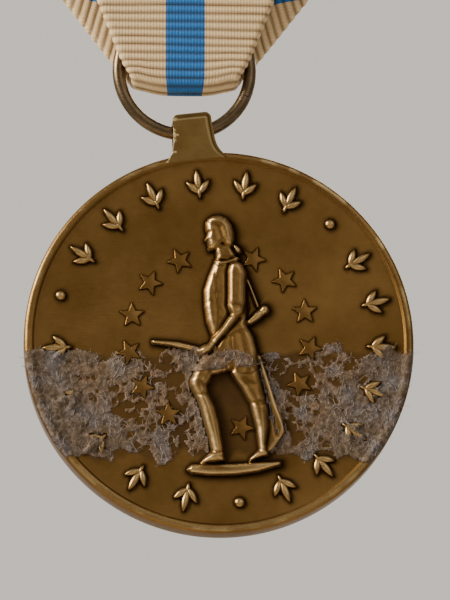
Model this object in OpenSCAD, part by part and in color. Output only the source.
// Military service medal: a struck bronze medallion on a wire ring, hung from a folded ribbon
// that wraps a slotted holding bar with a hinged pin and a turning safety catch.
// Millimetres, hanging as worn, +Z up. -Y is the pin side and the medallion's reverse.
// The origin is the middle of the pin stem, on its axis.

/* [Medallion] */
// Diameter of the disc
disc_d = 31.75; // [26:0.25:40]
// Thickness of the disc over its two rims
disc_t = 2.6; // [2.1:0.1:3.4]
// Width of the raised rim
rim_w = 0.75; // [0.5:0.05:1.2]
// Height of the rim above the field
rim_h = 0.2; // [0.1:0.05:0.35]
// Rounding of the disc's outer edges
edge_r = 0.35; // [0.1:0.05:0.5]
// Lean of the medallion and ring from plumb, degrees
sway = 7; // [0:1:12]

/* [Medallion lug] */
// Width of the lug at its top
lug_top_w = 3.2; // [2.4:0.05:3.6]
// Width of the lug where it leaves the disc
lug_root_w = 3.6; // [3.2:0.05:4.6]
// Rounding of the lug's top corners
lug_corner_r = 0.5; // [0.2:0.05:0.8]
// Metal left above the lug's hole
lug_roof = 0.57; // [0.4:0.01:1]
// Metal left between the lug's hole and the disc
lug_neck = 1.04; // [0.7:0.01:2]
// Room between the ring's wire and the lug's hole at the hole's mouths
lug_clear = 0.1; // [0.05:0.01:0.3]

/* [Medallion relief] */
// Height of the soldier from the ground line to the crown of the head
figure_h = 20; // [14:0.5:22]
// Relief of the soldier above the field
figure_relief = 1; // [0.5:0.1:1.4]
// Radius of the circle of stars
star_ring_r = 7.4; // [5:0.1:9]
// Distance across a star's points
star_d = 2.1; // [1.4:0.1:2.6]
// Relief of the stars
star_relief = 0.18; // [0.1:0.01:0.3]
// Height of a sprig in the border
sprig_h = 2.2; // [1.4:0.1:3]
// Relief of the sprigs and dots in the border
border_relief = 0.3; // [0.15:0.05:0.5]
// Gap between the rim and the border of sprigs
border_gap = 0.6; // [0.3:0.1:1.2]
// Diameter of the three raised dots in the border
dot_d = 0.9; // [0.6:0.1:1.4]
// Relief of the torch and wreath on the front
torch_relief = 0.5; // [0.3:0.1:0.8]

/* [Ring] */
// Diameter of the ring's wire
wire_d = 1.05; // [0.8:0.05:1.3]
// Outer diameter of the ring
ring_od = 11.9; // [10:0.1:14.5]
// Width of the butt seam in the ring
seam_w = 0.08; // [0.04:0.01:0.2]

/* [Ribbon] */
// Width of the ribbon
ribbon_w = 34.93; // [29:0.1:42]
// Thickness of the ribbon
ribbon_t = 0.45; // [0.35:0.01:0.6]
// Height from the ring's centre up to the pin's axis
drop = 31.95; // [26:0.5:40]
// Half-width of the front panel at the ring's centre
front_neck = 6.4; // [5.5:0.1:8]
// Lean of the front panel's folded edges from plumb, degrees
front_lean = 37.3; // [30:0.5:45]
// Half-width of the back panel at the ring's centre
back_neck = 5.15; // [4.5:0.05:7]
// Lean of the back panel's folded edges from plumb, degrees
back_lean = 21.3; // [15:0.5:30]
// Depth of the bottom fold below the ring's centre
fold_drop = 2.15; // [1:0.05:2.8]
// Length of the tail that is stitched to the back panel, below the pin's axis
tail_drop = 8; // [7:0.5:12]
// Room between the ribbon and the metal beside it
ribbon_clear = 0.33; // [0.2:0.01:0.6]
// Room between the ribbon and the holding bar
bar_clear = 0.08; // [0.05:0.01:0.2]

/* [Stitches] */
// Diameter of the sewing thread
thread_d = 0.24; // [0.15:0.01:0.35]
// Length of one stitch
stitch_l = 1.9; // [1:0.1:3]
// Distance from one stitch to the next
stitch_pitch = 3.1; // [2:0.1:5]
// Height of the row below the holding bar's lower edge
stitch_drop = 1.2; // [0.8:0.1:2]

/* [Holding bar] */
// Width of the bar
bar_w = 37; // [36:0.5:45]
// Height of the bar
bar_h = 8.8; // [8:0.1:12]
// Thickness of the bar's sheet
bar_t = 0.8; // [0.6:0.05:1.2]
// Rounding of the bar's corners
bar_corner_r = 1; // [0.3:0.1:2]
// Height of the strip above the slot
strip_h = 1; // [0.8:0.05:1.4]
// Height of the slot
slot_h = 1.1; // [1:0.05:1.4]
// Room at each end of the slot beside the ribbon
slot_end_clear = 0.24; // [0.1:0.01:0.5]

/* [Pin] */
// Diameter of the pin's stem
stem_d = 0.9; // [0.7:0.05:1.1]
// Distance from the pin's axis to the holding bar
pin_standoff = 2.2; // [2:0.1:3.2]
// Distance from the middle of the pin to its hinge
hinge_x = 13; // [11:0.25:15.5]
// Diameter where the stem's long taper ends and its point begins
tip_d = 0.5; // [0.4:0.02:0.6]
// Length of the pin's free stem, where cloth sits
stem_free_l = 21; // [16:0.5:21.5]
// Length of the point
point_l = 1; // [0.6:0.1:1.4]

/* [Hinge] */
// Diameter of the hinge rivet
rivet_d = 0.9; // [0.7:0.05:1.1]
// Radial room between the rivet and the pin's eye
rivet_clear = 0.05; // [0.02:0.01:0.1]
// Wall of the pin's eye
eye_wall = 0.6; // [0.4:0.05:0.8]
// Thickness of the bracket's sheet
bracket_t = 0.5; // [0.4:0.05:0.7]
// Thickness of the pin's flattened eye
eye_t = 0.74; // [0.6:0.02:0.84]
// Side room between the pin's stem and each cheek
cheek_clear = 0.08; // [0.04:0.01:0.15]

/* [Catch] */
// Length of the catch
catch_l = 3.2; // [2.6:0.1:4]
// Distance from the middle of the pin to the middle of the catch
catch_x = 13.2; // [12.8:0.1:15]
// Width of the catch's mouth
mouth_w = 1.1; // [1:0.05:1.3]
// Wall of the turning sleeve
sleeve_wall = 0.55; // [0.4:0.05:0.7]
// Wall of the two fixed collars
collar_wall = 0.42; // [0.35:0.01:0.6]
// Length of each fixed collar
collar_l = 0.75; // [0.6:0.05:1]
// Radial room between the sleeve and the collars
sleeve_clear = 0.06; // [0.03:0.01:0.1]
// Radial room between the sleeve and the pin where its point begins
tip_clear = 0.43; // [0.35:0.01:0.55]
// Reach of the thumb tab past the sleeve
tab_reach = 1.7; // [1:0.1:2.4]

/* [Hidden] */
$fn = 64;
eps = 0.1;            // how far a relief or a join is rooted in what carries it

// Holding bar, its slot and the strip that the ribbon wraps
bar_y0 = pin_standoff;
bar_y1 = bar_y0 + bar_t;
bar_top = bar_h / 2;
slot_top = bar_top - strip_h;
strip_y = bar_y0 + bar_t / 2;
strip_z = bar_top - strip_h / 2;
slot_w = ribbon_w + 2 * slot_end_clear;

// Ribbon layers, from the bar forwards
wrap_r = norm([bar_t / 2, strip_h / 2]) + bar_clear;
back_y0 = bar_y1 + bar_clear;
back_y1 = back_y0 + ribbon_t;
tail_y1 = back_y1 + ribbon_t;
ring_y = back_y1 + ribbon_clear + wire_d / 2;
front_y0 = ring_y + wire_d / 2 + ribbon_clear;
front_y1 = front_y0 + ribbon_t;
spread_z = -drop + ring_od / 2 + 1;      // below this the front panel hangs plumb past the ring
layers_top = slot_top - 0.4;

// Ring and medallion
ring_z = -drop;
ring_r = (ring_od - wire_d) / 2;
ring_inner_r = ring_od / 2 - wire_d;
lug_half_w = (lug_top_w + lug_root_w) / 4;
bow = ring_r - sqrt(pow(ring_r, 2) - pow(lug_half_w, 2));
lug_hole_r = wire_d / 2 + bow + lug_clear;
lug_hole_z = disc_d / 2 + lug_neck + lug_hole_r;
lug_top_z = lug_hole_z + lug_hole_r + lug_roof;
hang = lug_hole_z + ring_r;
field_y = disc_t / 2 - rim_h;
fold_z = ring_z - fold_drop;
fold_half = sqrt(pow(ring_inner_r, 2) - pow(fold_drop, 2)) - ribbon_clear;

// Border of the reverse: three dots and the sprigs between them
border_r = disc_d / 2 - rim_w - border_gap - sprig_h / 2;
dot_angles = [157.4, 40.5, -90];
sprig_counts = [6, 7, 5];

// Hinge and catch
rivet_r = rivet_d / 2;
eye_r = rivet_r + rivet_clear + eye_wall;
cheek_z = stem_d / 2 + cheek_clear;
bore_r = tip_d / 2 + tip_clear;
sleeve_r = bore_r + sleeve_wall;
collar_r0 = sleeve_r + sleeve_clear;
collar_r1 = collar_r0 + collar_wall;
tab_angle = 60;       // from the mouth to the thumb tab, round the sleeve

// Draws a flat shape on the medallion's reverse, raised by h.
module on_reverse(h)
    translate([0, eps - field_y, 0]) rotate([90, 0, 0]) linear_extrude(h + eps) children();

// Draws a flat shape on the medallion's front, raised by h.
module on_front(h) mirror([0, 1, 0]) on_reverse(h) children();

// Extrudes a flat (y, z) profile along X, centred.
module along_x(w) rotate([90, 0, 90]) linear_extrude(w, center = true) children();

// Extrudes a flat (x, z) outline from y0 to y1.
module through_y(y0, y1)
    translate([0, y1, 0]) rotate([90, 0, 0]) linear_extrude(y1 - y0) children();

// A pointed leaf of length l and width w, tip upwards, where two arcs cross.
module leaf(l, w) {
    r = (pow(l / 2, 2) + pow(w / 2, 2)) / w;
    intersection() {
        translate([r - w / 2, 0]) circle(r);
        translate([w / 2 - r, 0]) circle(r);
    }
}

module star(d)
    polygon([for (i = [0:9]) (i % 2 ? 0.2 : 0.5) * d * [sin(36 * i), cos(36 * i)]]);

// One border sprig: three leaves that fan from one foot.
module sprig(h)
    for (a = [-38, 0, 38])
        rotate(a) translate([0, h * 0.1]) leaf(h * 0.8, h * 0.3);

// A tapered bar with blunt ends, from point a to point b.
module limb(a, b, ra, rb) {
    d = (b - a) / norm(b - a);
    n = [-d[1], d[0]];
    polygon([a - 0.6 * ra * d, a + ra * n, b + rb * n,
             b + 0.6 * rb * d, b - rb * n, a - ra * n]);
}

// Standing soldier in a long coat, walking to the left with a musket held low.
// Drawn 20 high about the middle of the disc.
module soldier() {
    translate([0.3, 8.6]) circle(1.25);
    polygon([[0.1, 7.9], [1.1, 7.7], [2.6, 6.1], [2.9, 3], [2.4, -0.6], [3.4, -2],
             [4.9, -7.3], [3.1, -9.4], [2.3, -4.6], [-0.6, -2.9], [-1.3, -1], [-1.1, 3.4],
             [-0.5, 6.4]]);
    limb([2, 5.3], [2.3, 1.9], 0.85, 0.75);
    limb([2.4, 2], [-1.5, -0.7], 0.7, 0.5);
    limb([-1.1, -0.8], [-5.4, 0.3], 0.4, 0.28);
    limb([-0.3, -1.6], [-2.1, -4], 1.1, 0.75);
    limb([-2.2, -3.6], [-1, -9.5], 0.8, 0.5);
    limb([1.6, -2.2], [3, -5.8], 1.1, 0.75);
    limb([3.1, -5.3], [2.9, -9.6], 0.8, 0.5);
    translate([0.8, -9.9]) rotate(90) leaf(8, 1.1);
}

// Upright torch between two curved branches of leaves.
module torch() {
    polygon([[-0.4, -8.5], [0.4, -8.5], [0.9, 1], [-0.9, 1]]);
    translate([-1.7, 1]) square([3.4, 1.1]);
    translate([0, 4.4]) leaf(6, 2.6);
    for (s = [-1, 1], a = [0:14:126])
        rotate(s * (25 + a)) translate([0, -9.4])
            rotate(s * 62) leaf(3, 1.1);
}

module medallion()
    color("#8a6a3a")
    translate([0, ring_y, ring_z]) rotate([0, -sway, 0]) translate([0, 0, -hang])
    difference() {
        union() {
            // The disc, with a step from rim to field on both faces
            rotate([90, 0, 0]) rotate_extrude($fn = 128) {
                square([disc_d / 2 - rim_w, field_y]);
                translate([0, -field_y]) square([disc_d / 2 - rim_w, field_y]);
                translate([disc_d / 2 - rim_w - eps, edge_r - disc_t / 2])
                    square([rim_w + eps, disc_t - 2 * edge_r]);
                translate([disc_d / 2 - rim_w, -disc_t / 2])
                    square([rim_w - edge_r, disc_t]);
                for (s = [-1, 1])
                    translate([disc_d / 2 - edge_r, s * (disc_t / 2 - edge_r)])
                        circle(edge_r);
            }
            through_y(-disc_t / 2, disc_t / 2) lug_outline();
            on_reverse(star_relief)
                for (i = [0:14]) if (i != 6 && i != 14)
                    rotate(109 + 24 * i) translate([star_ring_r, 0])
                        rotate(-90) star(star_d);
            on_reverse(figure_relief) scale(figure_h / 20) soldier();
            on_reverse(border_relief) border();
            on_front(torch_relief) scale(figure_h / 20) torch();
        }
        translate([0, 0, lug_hole_z]) rotate([0, 90, 0])
            cylinder(r = lug_hole_r, h = lug_root_w * 2, center = true);
    }

// The lug, rounded at its top corners and rooted in the disc.
module lug_outline() {
    root_z = disc_d / 2 - rim_w;
    polygon([[-lug_root_w / 2, root_z], [lug_root_w / 2, root_z],
             [lug_top_w / 2, lug_top_z - lug_corner_r],
             [-lug_top_w / 2, lug_top_z - lug_corner_r]]);
    translate([lug_corner_r - lug_top_w / 2, root_z])
        square([lug_top_w - 2 * lug_corner_r, lug_top_z - root_z]);
    for (s = [-1, 1])
        translate([s * (lug_top_w / 2 - lug_corner_r), lug_top_z - lug_corner_r])
            circle(lug_corner_r);
}

// Three dots, and sprigs spaced evenly between each dot and the next.
module border()
    for (k = [0:2]) {
        gap = (dot_angles[(k + 1) % 3] - dot_angles[k] - 360) % 360;
        rotate(dot_angles[k]) translate([border_r, 0]) circle(d = dot_d);
        for (i = [1:sprig_counts[k]])
            rotate(dot_angles[k] + gap * i / (sprig_counts[k] + 1) - 90)
                translate([0, border_r - sprig_h / 2]) sprig(sprig_h);
    }

// A bent wire with its butt seam on the lower right.
module suspension_ring() {
    seam_angle = seam_w / ring_r * 180 / PI;
    color("#6f5a38")
    translate([0, ring_y, ring_z]) rotate([90, 0, 0]) rotate(-23)
        rotate_extrude(angle = 360 - seam_angle, $fn = 96)
            translate([ring_r, 0]) circle(d = wire_d, $fn = 32);
}

// Full-width panel that narrows to the ring, seen flat in (x, z).
module panel_outline(neck, lean, top) {
    widest = neck + (top - ring_z) * tan(lean);
    intersection() {
        polygon([[-fold_half, fold_z], [fold_half, fold_z], [neck, ring_z],
                 [widest, top], [-widest, top], [-neck, ring_z]]);
        translate([-ribbon_w / 2, fold_z]) square([ribbon_w, top - fold_z]);
    }
}

// One folded strip: down the front, through the ring, up the back, with a tail that passes
// through the slot and is stitched to the back panel.
module ribbon() {
    fold_r = (front_y1 - back_y0) / 2;
    root = 0.06;      // how far inside the wrap's thickness the front panel starts
    color("#e6d2b0") {
        // Wrap round the bar's upper strip
        translate([0, strip_y, strip_z]) rotate([0, 90, 0]) difference() {
            cylinder(r = wrap_r + ribbon_t, h = ribbon_w, center = true);
            cylinder(r = wrap_r, h = ribbon_w + 1, center = true);
        }
        // Front panel, which leaves the wrap and spreads forwards to pass the ring
        intersection() {
            along_x(ribbon_w) polygon([
                [strip_y + wrap_r + root, strip_z + eps],
                [strip_y + wrap_r + ribbon_t - root, strip_z + eps],
                [tail_y1 + bar_clear + ribbon_t, layers_top], [front_y1, spread_z],
                [front_y1, fold_z + fold_r], [front_y0, fold_z + fold_r],
                [front_y0, spread_z], [tail_y1 + bar_clear, layers_top]]);
            through_y(strip_y, front_y1 + 1) panel_outline(front_neck, front_lean, strip_z + eps);
        }
        // Tail and back panel, one over the other where they are stitched
        through_y(back_y0, tail_y1) intersection() {
            panel_outline(back_neck, back_lean, layers_top);
            translate([-ribbon_w / 2, -tail_drop]) square([ribbon_w, tail_drop + layers_top]);
        }
        through_y(back_y0, back_y1) intersection() {
            panel_outline(back_neck, back_lean, layers_top);
            translate([-ribbon_w / 2, fold_z + fold_r])
                square([ribbon_w, layers_top - fold_z - fold_r]);
        }
        // Bottom fold, which passes through the ring
        intersection() {
            translate([0, back_y0 + fold_r, fold_z + fold_r]) rotate([0, 90, 0])
                difference() {
                    cylinder(r = fold_r, h = ribbon_w, center = true);
                    cylinder(r = fold_r - ribbon_t, h = ribbon_w + 1, center = true);
                }
            through_y(back_y0, front_y1) intersection() {
                panel_outline(fold_half, 0, ring_z);
                translate([-ribbon_w, fold_z]) square([2 * ribbon_w, fold_r]);
            }
        }
    }
}

// A row of thread loops, each round the back panel and the tail.
module ribbon_stitches() {
    row_z = -bar_top - stitch_drop;
    loop_y0 = back_y0 - thread_d / 2;
    loop_y1 = tail_y1 + thread_d / 2;
    half_row = ribbon_w / 2 - stitch_pitch;
    count = floor(half_row / stitch_pitch);
    color("#d8c49c")
    for (i = [-count:count]) translate([i * stitch_pitch, 0, row_z]) {
        for (y = [loop_y0, loop_y1])
            translate([0, y, 0]) rotate([0, 90, 0])
                cylinder(d = thread_d, h = stitch_l, center = true, $fn = 24);
        for (s = [-1, 1])
            translate([s * (stitch_l - thread_d) / 2, loop_y0, 0]) rotate([-90, 0, 0])
                cylinder(d = thread_d, h = loop_y1 - loop_y0, $fn = 24);
    }
}

// Stamped sheet bar with a long slot near its upper edge.
module holding_bar()
    color("#9a7b45")
    through_y(bar_y0, bar_y1) difference() {
        union() {
            square([bar_w, bar_h - 2 * bar_corner_r], center = true);
            square([bar_w - 2 * bar_corner_r, bar_h], center = true);
            for (sx = [-1, 1], sz = [-1, 1])
                translate([sx * (bar_w / 2 - bar_corner_r), sz * (bar_h / 2 - bar_corner_r)])
                    circle(bar_corner_r);
        }
        translate([-slot_w / 2, slot_top - slot_h]) square([slot_w, slot_h]);
    }

// Folded bracket with two cheeks that carry the rivet.
module hinge_bracket() {
    cheek_front = eye_r + 0.1;
    color("#a98d55")
    translate([hinge_x, 0, 0]) difference() {
        for (s = [-1, 1])
            translate([0, 0, s * (cheek_z + bracket_t / 2)]) union() {
                cylinder(r = cheek_front, h = bracket_t, center = true);
                translate([-cheek_front, 0, -bracket_t / 2])
                    cube([2 * cheek_front, bar_y0, bracket_t]);
            }
        cylinder(r = rivet_r, h = 4 * cheek_z + 4 * bracket_t, center = true);
    }
    color("#a98d55")
    translate([hinge_x - cheek_front, bar_y0 - bracket_t, -cheek_z - bracket_t])
        cube([2 * cheek_front, bracket_t, 2 * (cheek_z + bracket_t)]);
}

// Rivet through both cheeks and the pin's eye, with a low head at each end.
module hinge_rivet() {
    head_z = cheek_z + bracket_t;
    color("#b59a60")
    translate([hinge_x, 0, 0]) {
        cylinder(r = rivet_r, h = 2 * head_z, center = true);
        for (s = [-1, 1])
            translate([0, 0, s * (head_z + 0.1)])
                cylinder(r = rivet_r + 0.25, h = 0.2, center = true);
    }
}

// Straight wire with a flattened neck and eye at the hinge and a long taper to its point.
module pin_stem() {
    free_end = stem_free_l / 2;
    tip_x = catch_x + 0.3;
    color("#b9b2a2")
    difference() {
        union() {
            translate([hinge_x, 0, 0]) cylinder(r = eye_r, h = eye_t, center = true);
            translate([free_end, -eye_r / 2, -eye_t / 2])
                cube([hinge_x - free_end, eye_r, eye_t]);
            translate([-free_end, 0, 0]) rotate([0, 90, 0])
                cylinder(d = stem_d, h = 2 * free_end);
            translate([-tip_x, 0, 0]) rotate([0, 90, 0])
                cylinder(d1 = tip_d, d2 = stem_d, h = tip_x - free_end);
            translate([-tip_x - point_l, 0, 0]) rotate([0, 90, 0])
                cylinder(d1 = 0.08, d2 = tip_d, h = point_l);
        }
        translate([hinge_x, 0, 0])
            cylinder(r = rivet_r + rivet_clear, h = stem_d * 2, center = true);
    }
}

// Foot and two open collars that hold the turning sleeve.
module catch_housing() {
    foot_w = 2 * collar_r1;
    color("#a98d55")
    translate([-catch_x, 0, 0]) {
        difference() {
            for (s = [-1, 1])
                translate([s * (catch_l - collar_l) / 2, 0, 0]) union() {
                    rotate([0, 90, 0]) cylinder(r = collar_r1, h = collar_l, center = true);
                    translate([-collar_l / 2, 0, -collar_r1 * 0.6])
                        cube([collar_l, bar_y0, collar_r1 * 1.2]);
                }
            rotate([0, 90, 0]) cylinder(r = collar_r0, h = catch_l * 2, center = true);
            translate([-catch_l, -2 * collar_r1, -mouth_w / 2])
                cube([2 * catch_l, 2 * collar_r1, mouth_w]);
        }
        translate([-catch_l / 2, collar_r0 + 0.1, -foot_w / 2])
            cube([catch_l, bar_y0 - collar_r0 - 0.1, foot_w]);
    }
}

// Slotted sleeve with a thumb tab between the collars; open here, it turns about X to lock.
module catch_sleeve() {
    tab_l = catch_l - 2 * collar_l - 2 * sleeve_clear;
    color("#b59a60")
    translate([-catch_x, 0, 0]) difference() {
        union() {
            rotate([0, 90, 0]) cylinder(r = sleeve_r, h = catch_l, center = true);
            rotate([-tab_angle, 0, 0])
                translate([-tab_l / 2, -sleeve_r - tab_reach, -0.25])
                    cube([tab_l, tab_reach + sleeve_wall, 0.5]);
        }
        rotate([0, 90, 0]) cylinder(r = bore_r, h = catch_l * 2, center = true);
        translate([-catch_l, -2 * sleeve_r, -mouth_w / 2])
            cube([2 * catch_l, 2 * sleeve_r, mouth_w]);
    }
}

medallion();
suspension_ring();
ribbon();
ribbon_stitches();
holding_bar();
hinge_bracket();
hinge_rivet();
pin_stem();
catch_housing();
catch_sleeve();
